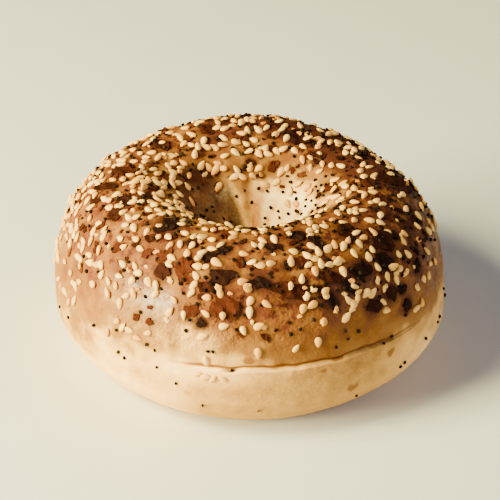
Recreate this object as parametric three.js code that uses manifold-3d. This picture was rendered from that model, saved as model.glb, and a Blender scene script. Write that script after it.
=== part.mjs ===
// A boiled and baked bread ring, topped all over with sesame seeds and flakes of dried onion.
//
// Millimetres, +Z up. The origin is the middle of the flat underside, on the surface that the ring rests on.
// The ring is one solid: its section is turned round the Z axis, pushed a little out of true as risen dough is,
// and the seeds and flakes are fused to its crust. -Y is the front, where the crust has split along its side.

import * as THREE from "three";
import { mergeVertices } from "three/addons/utils/BufferGeometryUtils.js";
import Module from "manifold-3d";

// Driving sizes of the ring, in millimetres.
const RING = {
  radius: 54.2,
  height: 49.8,
  widestHeight: 13.2,
  crestRadius: 30.4,
  throatRadius: 8.0,
  throatHeight: 17,
  baseOuterRadius: 40.7,
  baseInnerRadius: 17.5,
};

// How square each quarter of the section is: 1 is a straight line, 2 an ellipse.
const BEND = { lowerSide: 1.62, upperSide: 2.29, funnel: 1.88, underside: 2 };

// Waves round the ring: how many to a turn, how far they push in millimetres, and where they peak in degrees.
const OUT_OF_ROUND = [
  { count: 1, push: 0.98, peak: 58 },
  { count: 2, push: 1.44, peak: 3 },
  { count: 3, push: 1.0, peak: 39 },
  { count: 4, push: 0.33, peak: 337 },
];
const CREST_SWELL = [
  { count: 1, push: 1.05, peak: 177 },
  { count: 2, push: 1.3, peak: 100 },
  { count: 3, push: 0.62, peak: 328 },
];
const FUNNEL_FOLDS = [
  { count: 2, push: 0.7, peak: 20 },
  { count: 3, push: 0.45, peak: 75 },
  { count: 5, push: 0.25, peak: 110 },
];

// The split in the crust: the lower lip stands out, and the crust above it has drawn back.
const SPLIT = {
  height: 22.6,
  wave: [
    { count: 3, push: 0.5, peak: 285 },
    { count: 11, push: 0.14, peak: 10 },
  ],
  waveReach: 9,
  lipOut: 0.35,
  lipReach: 4,
  drawnBack: 0.8,
  drawnReach: 4.5,
  startsAt: 244,
  fullAt: 258,
  fullUntil: 303,
  endsAt: 338,
};

// Sesame seeds: half sizes, how far the wide end bulges, and how deep they sit in the crust.
const SESAME = {
  halfLength: 1.7,
  halfWidth: 1.06,
  halfThickness: 0.55,
  taper: 0.32,
  sunk: 0.1,
  count: 150,
  spacing: 2.1,
  seed: 1907,
};

// Dried onion flakes: thin chips with a ragged outline.
const FLAKE = {
  radius: 2.3,
  thickness: 0.85,
  sunk: 0.3,
  corners: 6,
  count: 54,
  spacing: 5.2,
  seed: 4711,
};

const AROUND = 60;
const TURN = 2 * Math.PI;
const DEGREE = Math.PI / 180;
const MERGE_WITHIN = 1e-4;
const SIMPLIFY_WITHIN = 0.03;
const ROUND_TO = 0.01;

const clamp01 = (x) => Math.min(1, Math.max(0, x));
const lerp = (a, b, t) => a + (b - a) * t;
const smoothstep = (from, to, x) => {
  const t = clamp01((x - from) / (to - from));
  return t * t * (3 - 2 * t);
};

function waves(list, theta) {
  return list.reduce(
    (sum, w) => sum + w.push * Math.cos(w.count * (theta - w.peak * DEGREE)),
    0,
  );
}

// The section of a perfectly even ring. `turn` goes round it in degrees: -90 is the base's outer edge,
// 0 the widest ring, 90 the crest, 180 the throat of the hole and 270 the base's inner edge.
function section(turn) {
  const quarter = (angle, bend) => [
    Math.pow(Math.abs(Math.cos(angle * DEGREE)), 2 / bend),
    Math.pow(Math.abs(Math.sin(angle * DEGREE)), 2 / bend),
  ];
  const r = RING;
  if (turn < 0) {
    const [across, up] = quarter(turn, BEND.lowerSide);
    return [
      lerp(r.baseOuterRadius, r.radius, across),
      r.widestHeight * (1 - up),
    ];
  }
  if (turn < 90) {
    const [across, up] = quarter(turn, BEND.upperSide);
    return [
      lerp(r.crestRadius, r.radius, across),
      lerp(r.widestHeight, r.height, up),
    ];
  }
  if (turn < 180) {
    const [across, up] = quarter(turn, BEND.funnel);
    return [
      lerp(r.crestRadius, r.throatRadius, across),
      lerp(r.throatHeight, r.height, up),
    ];
  }
  const [across, up] = quarter(turn, BEND.underside);
  return [
    lerp(r.baseInnerRadius, r.throatRadius, across),
    r.throatHeight * (1 - up),
  ];
}

// The turn at which the upper side of the section reaches a height.
function turnAtHeight(z) {
  const up = (z - RING.widestHeight) / (RING.height - RING.widestHeight);
  return Math.asin(Math.pow(up, BEND.upperSide / 2)) / DEGREE;
}

function splitStrength(theta) {
  const degrees = (((theta / DEGREE) % 360) + 360) % 360;
  return (
    smoothstep(SPLIT.startsAt, SPLIT.fullAt, degrees) *
    (1 - smoothstep(SPLIT.fullUntil, SPLIT.endsAt, degrees))
  );
}

// How far the split pushes the side out or in, at a height above or below it.
function splitPush(above) {
  return above < 0
    ? SPLIT.lipOut * Math.exp(above / SPLIT.lipReach)
    : -SPLIT.drawnBack * Math.exp(-above / SPLIT.drawnReach);
}

// Takes a point of the even ring to where the real, slightly uneven ring has it.
function uneven(theta, radius, z) {
  const out = clamp01(
    (radius - RING.throatRadius) / (RING.radius - RING.throatRadius),
  );
  let r =
    radius +
    out * waves(OUT_OF_ROUND, theta) +
    (1 - out) ** 2 * waves(FUNNEL_FOLDS, theta);
  let height = z * (1 + waves(CREST_SWELL, theta) / RING.height);
  if (radius > RING.crestRadius) {
    const above = z - SPLIT.height;
    r += splitStrength(theta) * splitPush(above);
    height +=
      waves(SPLIT.wave, theta) * Math.exp(-((above / SPLIT.waveReach) ** 2));
  }
  return new THREE.Vector3(
    r * Math.cos(theta),
    r * Math.sin(theta),
    z === 0 ? 0 : height,
  );
}

const skin = (theta, turn) => uneven(theta, ...section(turn));

// A frame on the crust: X along the given heading, Z straight out of the crust.
function crustFrame(theta, turn, heading, sunk) {
  const step = 0.02;
  const across = skin(theta + step, turn).sub(skin(theta - step, turn));
  const up = skin(theta, turn + step / DEGREE).sub(
    skin(theta, turn - step / DEGREE),
  );
  const out = across.clone().cross(up).normalize();
  const along = across
    .normalize()
    .multiplyScalar(Math.cos(heading))
    .addScaledVector(out.clone().cross(across).normalize(), Math.sin(heading));
  const side = out.clone().cross(along);
  return new THREE.Matrix4()
    .makeBasis(along, side, out)
    .setPosition(skin(theta, turn).addScaledVector(out, -sunk));
}

// The same numbers in the same order on every run.
function randomStream(seed) {
  let state = seed;
  return () => {
    state = (state * 1664525 + 1013904223) % 4294967296;
    return state / 4294967296;
  };
}

// Where the toppings lie thick: over the whole top, lower down on the left, and thinning out inside the hole.
function sesameCover(theta, turn) {
  const lowest = 22 + 16 * Math.cos(theta - 305 * DEGREE);
  const clumps =
    0.66 + 0.34 * Math.sin(6 * theta + 2.4 * Math.sin(turn * 4 * DEGREE));
  return (
    smoothstep(lowest - 12, lowest + 14, turn) *
    (1 - smoothstep(124, 152, turn)) *
    clumps
  );
}

function flakeCover(theta, turn) {
  const rightAndBack = 0.62 + 0.38 * Math.cos(theta - 345 * DEGREE);
  return (
    smoothstep(30, 48, turn) * (1 - smoothstep(112, 138, turn)) * rightAndBack
  );
}

// Draws places on the crust, keeping each by how thickly that spot is covered and by how much crust is there.
function scatter({ seed, count, spacing }, cover, lowestTurn, highestTurn) {
  const draw = randomStream(seed);
  const mostArea = 48;
  const places = [];
  while (places.length < count) {
    const theta = TURN * draw();
    const turn = lerp(lowestTurn, highestTurn, draw());
    const [luck, heading, size] = [draw(), TURN * draw(), draw()];
    const spot = skin(theta, turn);
    const stretch = skin(theta, turn + 1).distanceTo(skin(theta, turn - 1));
    const area = (Math.hypot(spot.x, spot.y) * stretch) / mostArea;
    if (luck > cover(theta, turn) * area) continue;
    if (places.some((p) => p.spot.distanceTo(spot) < spacing)) continue;
    places.push({ theta, turn, heading, size, spot });
  }
  return places;
}

const wasm = await Module();
wasm.setup();

function solidOf(geometry) {
  const bare = geometry.clone();
  bare.deleteAttribute("normal");
  bare.deleteAttribute("uv");
  const merged = mergeVertices(bare, MERGE_WITHIN);
  return new wasm.Manifold(
    new wasm.Mesh({
      numProp: 3,
      vertProperties: new Float32Array(merged.attributes.position.array),
      triVerts: new Uint32Array(merged.index.array),
    }),
  );
}

function geometryOf(solid) {
  const { vertProperties, triVerts } = solid.getMesh();
  return new THREE.BufferGeometry()
    .setAttribute("position", new THREE.BufferAttribute(vertProperties, 3))
    .setIndex(new THREE.BufferAttribute(triVerts, 1));
}

// Puts every point on a fine grid, which closes up the edges that are too short for the STEP file.
function onGrid(solid) {
  const geometry = mergeVertices(
    reshape(geometryOf(solid), (p) =>
      p.divideScalar(ROUND_TO).round().multiplyScalar(ROUND_TO),
    ),
    MERGE_WITHIN,
  );
  const corners = geometry.index.array;
  const kept = [];
  for (let i = 0; i < corners.length; i += 3) {
    const [a, b, c] = corners.slice(i, i + 3);
    if (a !== b && b !== c && c !== a) kept.push(a, b, c);
  }
  return solidOf(geometry.setIndex(kept)).simplify(ROUND_TO);
}

// Moves every point of a geometry with `move`, which changes the vector that it is given.
function reshape(geometry, move) {
  const position = geometry.attributes.position;
  const point = new THREE.Vector3();
  for (let i = 0; i < position.count; i++) {
    move(point.fromBufferAttribute(position, i));
    position.setXYZ(i, point.x, point.y, point.z);
  }
  return geometry;
}

// The bread itself, from the base's outer edge up over the crest and down through the hole.
function breadGeometry() {
  const spread = (from, to, steps) =>
    Array.from({ length: steps }, (_, i) => lerp(from, to, i / steps));
  const splitTurns = [-3, -0.9, 0, 0.25, 1.5, 4].map((above) =>
    turnAtHeight(SPLIT.height + above),
  );
  const turns = [
    ...spread(-90, 0, 5),
    ...[0, 7],
    ...splitTurns,
    ...spread(39, 90, 6),
    ...spread(90, 180, 9),
    ...spread(180, 270, 4),
    270,
  ];
  const outline = turns.map((turn) => new THREE.Vector2(...section(turn)));
  outline.push(outline[0].clone());
  const turned = new THREE.LatheGeometry(outline, AROUND).rotateX(Math.PI / 2);
  return reshape(turned, (p) => {
    const onBase = p.z < 1e-6;
    p.copy(
      uneven(
        Math.atan2(p.y, p.x),
        Math.hypot(p.x, p.y),
        onBase ? 0 : p.z,
      ),
    );
  });
}

function sesameGeometry(size) {
  const scale = lerp(0.9, 1.12, size);
  return reshape(new THREE.SphereGeometry(1, 6, 3).rotateZ(Math.PI / 2), (p) =>
    p.set(
      p.x * SESAME.halfLength * scale,
      p.y * SESAME.halfWidth * scale * (1 - SESAME.taper * p.x),
      p.z * SESAME.halfThickness * scale,
    ),
  );
}

function flakeGeometry(size, heading) {
  const chip = new THREE.CylinderGeometry(
    1,
    1,
    FLAKE.thickness,
    FLAKE.corners,
  ).rotateX(Math.PI / 2);
  const radius = FLAKE.radius * lerp(0.72, 1.3, size);
  return reshape(chip, (p) => {
    const corner = Math.atan2(p.y, p.x);
    const ragged = 1 + 0.2 * Math.sin(3 * corner + 5 * heading);
    p.set(p.x * radius * ragged * 1.2, (p.y * radius * ragged) / 1.2, p.z);
  });
}

const bread = solidOf(breadGeometry());
const flakes = scatter(FLAKE, flakeCover, 25, 142).map((p) =>
  solidOf(
    flakeGeometry(p.size, p.heading).applyMatrix4(
      crustFrame(p.theta, p.turn, p.heading, FLAKE.sunk),
    ),
  ),
);
const sesame = scatter(SESAME, sesameCover, -5, 152).map((p) =>
  solidOf(
    sesameGeometry(p.size).applyMatrix4(
      crustFrame(p.theta, p.turn, p.heading, SESAME.sunk),
    ),
  ),
);
const [topped] = wasm.Manifold.union([bread, ...flakes, ...sesame])
  .asOriginal()
  .simplify(SIMPLIFY_WITHIN)
  .decompose()
  .sort((a, b) => b.volume() - a.volume());

const bagel = new THREE.Mesh(
  geometryOf(onGrid(topped)),
  new THREE.MeshStandardMaterial({
    color: new THREE.Color(0.76, 0.48, 0.22),
    roughness: 0.42,
    metalness: 0,
  }),
);
bagel.name = "bagel";

const group = new THREE.Group();
group.add(bagel);

export default group;
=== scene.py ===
"""A baked bagel topped with sesame and poppy seeds, dried onion flakes and garlic granules."""

import math
from collections import namedtuple

import bmesh
import bpy
import numpy as np
from bpy.props import FloatProperty, FloatVectorProperty, IntProperty, PointerProperty
from mathutils import Matrix, Vector, noise
from mathutils.bvhtree import BVHTree


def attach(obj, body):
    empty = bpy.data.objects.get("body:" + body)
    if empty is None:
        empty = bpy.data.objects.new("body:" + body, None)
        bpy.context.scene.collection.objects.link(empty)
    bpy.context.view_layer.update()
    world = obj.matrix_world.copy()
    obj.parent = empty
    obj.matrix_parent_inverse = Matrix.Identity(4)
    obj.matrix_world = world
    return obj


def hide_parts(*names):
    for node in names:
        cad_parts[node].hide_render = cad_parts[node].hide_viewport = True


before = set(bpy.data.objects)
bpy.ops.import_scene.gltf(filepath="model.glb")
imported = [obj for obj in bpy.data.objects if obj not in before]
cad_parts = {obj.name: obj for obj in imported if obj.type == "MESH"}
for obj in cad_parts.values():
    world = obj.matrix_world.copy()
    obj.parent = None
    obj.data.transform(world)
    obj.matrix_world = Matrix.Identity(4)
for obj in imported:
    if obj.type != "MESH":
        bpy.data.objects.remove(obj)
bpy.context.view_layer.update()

bl_info = {
    "name": "Seeded Bagel",
    "version": (1, 0, 0),
    "blender": (4, 5, 0),
    "location": "View3D > Sidebar > Bagel",
    "description": "Models a seeded bagel round its packed solid",
    "category": "Object",
}

MM = 0.001
DEGREE = math.pi / 180
TURN = 2 * math.pi

# Waves round the ring: how many to a turn, how far they push in metres, and where they peak in degrees.
OUT_OF_ROUND = (
    (1, 0.98 * MM, 58),
    (2, 1.44 * MM, 3),
    (3, 1.0 * MM, 39),
    (4, 0.33 * MM, 337),
)
CREST_SWELL = ((1, 1.05 * MM, 177), (2, 1.3 * MM, 100), (3, 0.62 * MM, 328))
FUNNEL_FOLDS = ((2, 0.7 * MM, 20), (3, 0.45 * MM, 75), (5, 0.25 * MM, 110))
SPLIT_WAVE = ((3, 0.5 * MM, 285), (11, 0.14 * MM, 10))
SPLIT_WAVE_REACH = 9 * MM
SPLIT_TAGS = ((21, 0.16 * MM, 40), (34, 0.12 * MM, 95), (57, 0.09 * MM, 12))

# Where the pale bottom ends round the ring: degrees round it, and the turn of the section there.
TIDE_LINE = (
    (0, 5), (60, 2), (120, 0), (180, -7), (195, -9), (208, -5), (224, 6), (237, 6), (254, 11.5),
    (320, 12.5), (335, 10), (360, 5),
)

# Where round the ring the split starts, is full and ends, in degrees.
SPLIT_ENDS = (244, 258, 303, 338)

# How square each quarter of the section is: 1 is a straight line, 2 an ellipse.
LOWER_SIDE_BEND = 1.62
UPPER_SIDE_BEND = 2.29
FUNNEL_BEND = 1.88
UNDERSIDE_BEND = 2

# How baked the crust is, from 0 for pale dough to 1 for the darkest: on the outside by degrees of turn above
# the tide line, in the hole by turn, and at the split by millimetres above it.
BAKED_ABOVE_TIDE = (
    (-60, 0.09), (-16, 0.10), (-7, 0.15), (4, 0.29), (16, 0.38), (28, 0.47), (50, 0.60), (75, 0.66),
)
BAKED_IN_HOLE = ((90, 0.66), (104, 0.60), (116, 0.42), (130, 0.05), (180, 0.0), (225, 0.08), (270, 0.08))
# At the split the thin lip is paler, partly torn dough and partly a painted highlight along its edge.
BAKED_AT_SPLIT = ((-20, 0.10), (-9, 0.12), (-0.4, 0.17), (-0.15, 0.11), (0.2, 0.05))

# How strongly the patches in the crust show and how much it shines, by turn.
PATCH_STRENGTH = (
    (-90, 0.1), (-20, 0.15), (10, 0.9), (45, 2.0), (105, 1.9), (126, 1.2), (145, 0.4), (270, 0.2),
)
GLOSS = (
    (-60, 0.0), (0, 0.0), (20, 0.15), (30, 1), (40, 0.7), (52, 0.3), (105, 0.3), (122, 0.05), (180, 0.0),
)

# Where the seeded random draws start. The solid draws its flakes and its sesame from the first two as well.
SOLID_FLAKE_SEED = 4711
SOLID_SESAME_SEED = 1907
SEEN_FLAKE_SEED = 53
SEEN_SESAME_SEED = 29
SEEN_POPPY_SEED = 31
SESAME_SEED = 907
CRUMB_SEED = 8111
GRANULE_SEED = 611
POPPY_SEED = 233
FLAKE_SHAPE_SEED = 61
SESAME_SHAPE_SEED = 1303
BLISTER_SEED = 97

# How many flakes and sesame seeds the solid has, and how many blisters the crust.
SOLID_FLAKES = 54
SOLID_SESAME = 150
BLISTERS = 110

# Half the thickness of a sesame seed, and an onion flake's corners, thickness and depth in the crust.
SESAME_HALF_THICKNESS = 0.52 * MM
FLAKE_CORNERS = 13
FLAKE_THICKNESS = 0.35 * MM
FLAKE_SUNK = 0.15 * MM

# The crust's area at its widest, round the ring by two degrees of turn, for one radian of the ring.
MOST_AREA = 48 * MM * MM

# How far above and below a topping its support is looked for.
DROP_REACH = 5 * MM

# The lamps: name, direction round the bagel and up in degrees, distance, width and height, power and colour.
# The first stands where the photograph's highlight and shadows have its main light.
LAMPS = (
    ("key_light", -156, 14, 0.8, (0.3, 0.24), 30.0, (1.0, 0.93, 0.43)),
    ("left_light", -162, 43, 0.8, (0.3, 0.3), 23.0, (1.0, 0.94, 0.46)),
    ("right_fill", -25, 22, 1.0, (0.6, 0.4), 5.2, (1.0, 0.96, 0.88)),
)
WORLD_COLOUR = (1.0, 0.99, 0.98, 1)
WORLD_STRENGTH = 0.14
FLOOR_SIZE = 2.5

# The photograph's frame is this many pixels on a side, and the camera's sensor this many millimetres wide.
FRAME_PIXELS = 500
SENSOR_WIDTH = 36

# A place for a topping: its point, the way out of the crust and the way its length runs there, how large it
# is from 0 to 1, and a number from 0 to 1 for whatever else varies.
Spot = namedtuple("Spot", "point out along size luck")

# The onion flakes that stand out: pixel of the photograph across and down, length in millimetres, and how
# burnt from 0 to 1.
SEEN_FLAKES = (
    (167, 226, 7.5, 1.0), (156, 238, 5.0, 0.5), (192, 243, 4.2, 0.8), (118, 248, 4.3, 0.4),
    (148, 253, 3.4, 0.3), (165, 255, 5.0, 0.3), (209, 257, 4.8, 1.0), (224, 250, 4.2, 0.95),
    (163, 272, 5.4, 0.7), (184, 267, 7.0, 0.3), (187, 279, 4.0, 0.2), (81, 268, 2.7, 0.1),
    (150, 322, 2.8, 0.35), (137, 317, 2.6, 0.4), (190, 311, 4.8, 0.35), (216, 311, 4.4, 0.3),
    (102, 225, 2.8, 0.35), (115, 217, 4.0, 0.6), (150, 307, 2.0, 0.3), (201, 323, 2.8, 1.0),
    (297, 236, 6.0, 1.0), (260, 282, 5.6, 0.95), (290, 291, 9.5, 0.6), (273, 247, 4.0, 0.9),
    (317, 243, 5.0, 0.95), (346, 232, 7.0, 0.75), (222, 277, 7.0, 0.85), (226, 306, 7.5, 0.35),
    (331, 301, 5.4, 1.0), (347, 285, 4.8, 1.0), (329, 276, 5.2, 0.6), (210, 287, 5.0, 0.6),
    (382, 240, 8.5, 0.8), (361, 270, 6.5, 0.95), (385, 262, 7.0, 1.0), (417, 266, 4.2, 1.0),
    (415, 220, 4.0, 1.0), (402, 290, 3.2, 1.0), (407, 305, 4.6, 0.9), (373, 307, 5.2, 0.8),
    (391, 293, 5.6, 0.75), (303, 288, 4.0, 0.6), (393, 235, 4.0, 1.0), (207, 130, 6.2, 0.6),
    (160, 145, 7.0, 0.65), (123, 171, 7.5, 0.6), (107, 187, 6.0, 0.7), (95, 202, 4.6, 0.65),
    (125, 200, 5.6, 0.8), (147, 197, 5.0, 0.8), (114, 213, 4.4, 0.7), (168, 186, 3.4, 0.8),
    (152, 167, 2.6, 0.3), (275, 123, 5.6, 0.7), (297, 136, 8.0, 0.85), (250, 150, 3.4, 0.5),
    (318, 155, 5.0, 0.7), (272, 167, 3.2, 0.4), (302, 175, 3.2, 0.15), (338, 145, 3.6, 0.5),
    (358, 155, 5.6, 1.0), (352, 143, 4.0, 1.0), (390, 180, 8.0, 0.75), (372, 185, 6.6, 0.5),
    (331, 186, 5.0, 0.4), (382, 198, 5.6, 0.5), (240, 262, 3.6, 0.4), (300, 262, 4.0, 0.5),
)

# Seeds that stand out, as pixels across and down: first those low on the front, then those on dark crust.
SEEN_SESAME = (
    (258, 353), (206, 360), (296, 348), (318, 342), (203, 336), (138, 338), (130, 330), (123, 327),
    (117, 321), (346, 317), (323, 322), (224, 326), (148, 333), (108, 332), (75, 300), (66, 292),
    (259, 326), (383, 302), (386, 310), (372, 293), (198, 374), (206, 377), (213, 379), (223, 379),
    (362, 193), (402, 195), (355, 203), (371, 203), (382, 205), (341, 202), (363, 211), (355, 213),
    (337, 213), (318, 217), (369, 221), (354, 221), (324, 227), (310, 224), (387, 232), (404, 234),
    (403, 242), (372, 233), (363, 238), (334, 245), (343, 247), (328, 249), (318, 252), (307, 256),
    (312, 247), (354, 254), (368, 257), (398, 254), (407, 254), (341, 260), (321, 264), (329, 265),
    (377, 267), (392, 267), (399, 269), (405, 273), (343, 272), (387, 277), (396, 280), (358, 292),
    (348, 300), (357, 299), (325, 295), (312, 305), (303, 309), (426, 251), (434, 261), (423, 279),
    (428, 275), (416, 308), (421, 302),
)
SEEN_POPPY = (
    (176, 383), (157, 367), (155, 350), (147, 344), (186, 330), (391, 336), (384, 344), (437, 322),
    (425, 338), (404, 362), (400, 366), (356, 395), (345, 331), (358, 331), (348, 339), (336, 347),
    (208, 351), (232, 371), (69, 317), (117, 330), (186, 331), (300, 329), (291, 334), (405, 315),
)

# Marks on the pale side: pixel across and down, radius in millimetres, and how baked.
SIDE_MARKS = (
    (353, 387, 2.0, 0.42), (259, 411, 0.6, 0.65), (324, 371, 1.0, 0.40), (188, 392, 1.1, 0.30),
    (232, 371, 0.6, 0.75), (249, 361, 1.6, 0.48), (391, 352, 1.6, 0.45),
)


def length_setting(name, description, default, least=0):
    return FloatProperty(
        name=name, description=description, default=default, min=least, subtype="DISTANCE", unit="LENGTH"
    )


def plain_setting(name, description, default):
    return FloatProperty(name=name, description=description, default=default)


def colour_setting(name, description, default):
    return FloatVectorProperty(
        name=name, description=description, default=default, min=0, max=1, subtype="COLOR"
    )


def count_setting(name, description, default, least=1):
    return IntProperty(name=name, description=description, default=default, min=least)


class RingSettings(bpy.types.PropertyGroup):
    """Sizes of the bread ring."""

    radius: length_setting("Radius", "Outer radius at the widest place", 0.0542, 0.02)
    height: length_setting("Height", "Mean height of the crest", 0.0498, 0.01)
    widest_height: length_setting("Widest at", "Height at which the ring is widest", 0.0132)
    crest_radius: length_setting("Crest radius", "Radius of the highest line round the ring", 0.0304)
    throat_radius: length_setting("Throat radius", "Radius of the hole where it is narrowest", 0.008)
    throat_height: length_setting("Throat height", "Height at which the hole is narrowest", 0.017)
    base_outer_radius: length_setting("Base outer radius", "Outer radius of the flat underside", 0.0407)
    base_inner_radius: length_setting("Base inner radius", "Inner radius of the flat underside", 0.0175)
    split_height: length_setting("Split height", "Height of the split in the crust", 0.0226)
    steps: count_setting("Steps round", "Number of steps that the section is spun through", 540, 60)


class CrustColours(bpy.types.PropertyGroup):
    """Colours of the crust, from the palest dough to the darkest patch."""

    pale: colour_setting("Pale", "Dough in the hole, the palest of all", (0.98, 0.74, 0.37))
    dough: colour_setting("Dough", "Underbaked dough along the bottom edge", (0.90, 0.51, 0.18))
    tan: colour_setting("Tan", "Lightly baked side", (0.27, 0.119, 0.026))
    golden: colour_setting("Golden", "Well baked crust", (0.195, 0.070, 0.013))
    brown: colour_setting("Brown", "Darkest baked crust", (0.112, 0.0285, 0.0115))
    # The darkest colour, also laid over the hole's left wall, where it is partly painted shade.
    scorch_and_shade: colour_setting("Scorched", "Crust burnt round the dark flakes", (0.054, 0.014, 0.0068))


class ToppingSettings(bpy.types.PropertyGroup):
    """Numbers and sizes of the seeds, flakes and granules."""

    sesame_count: count_setting("Sesame seeds", "Number of sesame seeds", 520)
    sesame_length: length_setting("Sesame length", "Mean length of a sesame seed", 0.0029)
    sesame_width: length_setting("Sesame width", "Mean width of a sesame seed", 0.00184)
    poppy_count: count_setting("Poppy seeds", "Number of poppy seeds", 560)
    poppy_length: length_setting("Poppy length", "Mean length of a poppy seed", 0.00115)
    flake_radius: length_setting("Flake radius", "Mean radius of an onion flake", 0.0023)
    crumb_count: count_setting("Onion crumbs", "Number of small bits of onion", 420)
    crumb_radius: length_setting("Crumb radius", "Mean radius of a small bit of onion", 0.001)
    granule_count: count_setting("Garlic granules", "Number of garlic granules", 150)
    granule_size: length_setting("Granule size", "Mean size of a garlic granule", 0.0015)
    sesame_colour: colour_setting("Sesame", "Colour of a pale sesame seed", (0.77, 0.455, 0.13))
    poppy_colour: colour_setting("Poppy", "Colour of a poppy seed", (0.009, 0.007, 0.0055))
    onion_colour: colour_setting(
        "Onion", "Colour of a flake that is toasted but not burnt", (0.060, 0.0125, 0.004)
    )
    garlic_colour: colour_setting("Garlic", "Colour of a pale garlic granule", (0.74, 0.46, 0.13))


class ViewSettings(bpy.types.PropertyGroup):
    """Where the photograph was taken from, and the floor."""

    elevation: FloatProperty(
        name="Elevation",
        description="How far the camera looks down",
        default=32.5 * DEGREE,
        subtype="ANGLE",
        unit="ROTATION",
    )
    distance: length_setting("Distance", "Distance from the camera to the middle of the bagel", 0.5)
    middle_height: length_setting(
        "Middle height", "Height of the point that the distance is measured to", 0.0253
    )
    pixels_per_metre: plain_setting("Pixels per metre", "Size of the bagel's middle in the frame", 3532)
    middle_x: plain_setting("Middle across", "Pixel across on which the bagel's middle falls", 249.6)
    middle_y: plain_setting("Middle down", "Pixel down on which the bagel's middle falls", 256.4)
    floor_colour: colour_setting("Floor", "Colour of the floor", (0.61, 0.61, 0.63))


def waves(table, theta):
    return sum(push * np.cos(count * (theta - peak * DEGREE)) for count, push, peak in table)


def smoothstep(low, high, x):
    t = np.clip((x - low) / (high - low), 0, 1)
    return t * t * (3 - 2 * t)


def lerp(a, b, t):
    return a + (b - a) * t


def band(x, starts, full, fades, ends):
    """1 from `full` to `fades`, falling softly to 0 at `starts` and at `ends`."""
    return smoothstep(starts, full, x) * (1 - smoothstep(fades, ends, x))


def bell(x, middle, width):
    return np.exp(-(((x - middle) / width) ** 2))


def facing(theta, azimuth):
    """1 on the side of the ring at an azimuth, -1 opposite. 0 degrees is right, 90 back and 270 front."""
    return np.cos(theta - azimuth * DEGREE)


def nearness(theta, azimuth):
    """1 on the side of the ring at an azimuth, 0 opposite."""
    return 0.5 + 0.5 * facing(theta, azimuth)


def from_table(table, x):
    return np.interp(x, *zip(*table))


def section(ring, turn):
    """Radius and height of the even ring's section. A turn of -90 is the base's outer edge, 0 the widest
    ring, 90 the crest, 180 the throat of the hole and 270 the base's inner edge."""
    turn = np.asarray(turn, float)
    quarters = (
        (-90, LOWER_SIDE_BEND, ring.base_outer_radius, ring.radius, ring.widest_height, 0),
        (0, UPPER_SIDE_BEND, ring.crest_radius, ring.radius, ring.widest_height, ring.height),
        (90, FUNNEL_BEND, ring.crest_radius, ring.throat_radius, ring.throat_height, ring.height),
        (180, UNDERSIDE_BEND, ring.base_inner_radius, ring.throat_radius, ring.throat_height, 0),
    )
    radius = np.zeros_like(turn)
    height = np.zeros_like(turn)
    for start, bend, inner, outer, level, end in quarters:
        here = (turn >= start) & (turn <= start + 90)
        across = np.abs(np.cos(turn * DEGREE)) ** (2 / bend)
        up = np.abs(np.sin(turn * DEGREE)) ** (2 / bend)
        radius = np.where(here, lerp(inner, outer, across), radius)
        height = np.where(here, lerp(level, end, up), height)
    return radius, height


def turn_at_height(ring, z):
    """The turn at which the upper side of the section reaches a height."""
    up = (z - ring.widest_height) / (ring.height - ring.widest_height)
    return math.asin(up ** (UPPER_SIDE_BEND / 2)) / DEGREE


def split_strength(theta):
    return band(np.mod(theta / DEGREE, 360), *SPLIT_ENDS)


def split_push(above):
    """How far the split pushes the side out or in, at a height above or below it."""
    below_lip = 0.35 * MM * np.exp(np.minimum(above, 0) / (4 * MM))
    drawn_back = -0.8 * MM * np.exp(-np.maximum(above, 0) / (4.5 * MM))
    return np.where(above < 0, below_lip, drawn_back)


def uneven(ring, theta, radius, height):
    """Takes a point of the even ring to where the real, slightly uneven ring has it."""
    out = np.clip((radius - ring.throat_radius) / (ring.radius - ring.throat_radius), 0, 1)
    r = radius + out * waves(OUT_OF_ROUND, theta) + (1 - out) ** 2 * waves(FUNNEL_FOLDS, theta)
    z = height * (1 + waves(CREST_SWELL, theta) / ring.height)
    above = height - ring.split_height
    side = radius > ring.crest_radius
    r = r + np.where(side, split_strength(theta) * split_push(above), 0)
    z = z + np.where(side, waves(SPLIT_WAVE, theta) * bell(above, 0, SPLIT_WAVE_REACH), 0)
    z = np.where(height == 0, 0, z)
    return np.stack([r * np.cos(theta), r * np.sin(theta), z], -1)


def skin(ring, theta, turn):
    return uneven(ring, theta, *section(ring, turn))


def unit(vectors):
    return vectors / np.linalg.norm(vectors, axis=-1, keepdims=True)


def skin_frame(ring, theta, turn):
    """A point on the smooth ring, the way round it, the way up its section and straight out of it."""
    step = 0.02
    round_ring = skin(ring, theta + step, turn) - skin(ring, theta - step, turn)
    up_section = skin(ring, theta, turn + step / DEGREE) - skin(ring, theta, turn - step / DEGREE)
    out = unit(np.cross(round_ring, up_section))
    round_ring = unit(round_ring)
    return skin(ring, theta, turn), round_ring, unit(np.cross(out, round_ring)), out


def random_stream(seed):
    """The same numbers in the same order on every run."""
    state = seed
    while True:
        state = (state * 1664525 + 1013904223) % 4294967296
        yield state / 4294967296


def sesame_cover(theta, turn):
    """Where the solid's sesame lies: over the top, lower down on the left, less in the hole."""
    lowest = 22 + 16 * facing(theta, 305)
    clumps = 0.66 + 0.34 * math.sin(6 * theta + 2.4 * math.sin(turn * 4 * DEGREE))
    return band(turn, lowest - 12, lowest + 14, 124, 152) * clumps


def clumped_cover(theta, turn):
    """Where the rest of the sesame lies: in clumps, thickest on the left, along the back and by the hole."""
    lowest = 24 + 14 * facing(theta, 290)
    by_hole = bell(turn, 104, 14)
    clump = noise.noise(Vector((9 * math.cos(theta), 9 * math.sin(theta), turn / 8)))
    thick = lerp(0.18, 0.9, nearness(theta, 150)) + 0.35 * by_hole + 0.9 * clump
    on_top = band(turn, lowest - 6, lowest + 16, 116, 138) * max(thick, 0.05)
    far_wall = smoothstep(0.55, 0.9, facing(theta, 72)) * bell(turn, 119, 13)
    return max(on_top, far_wall)


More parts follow.
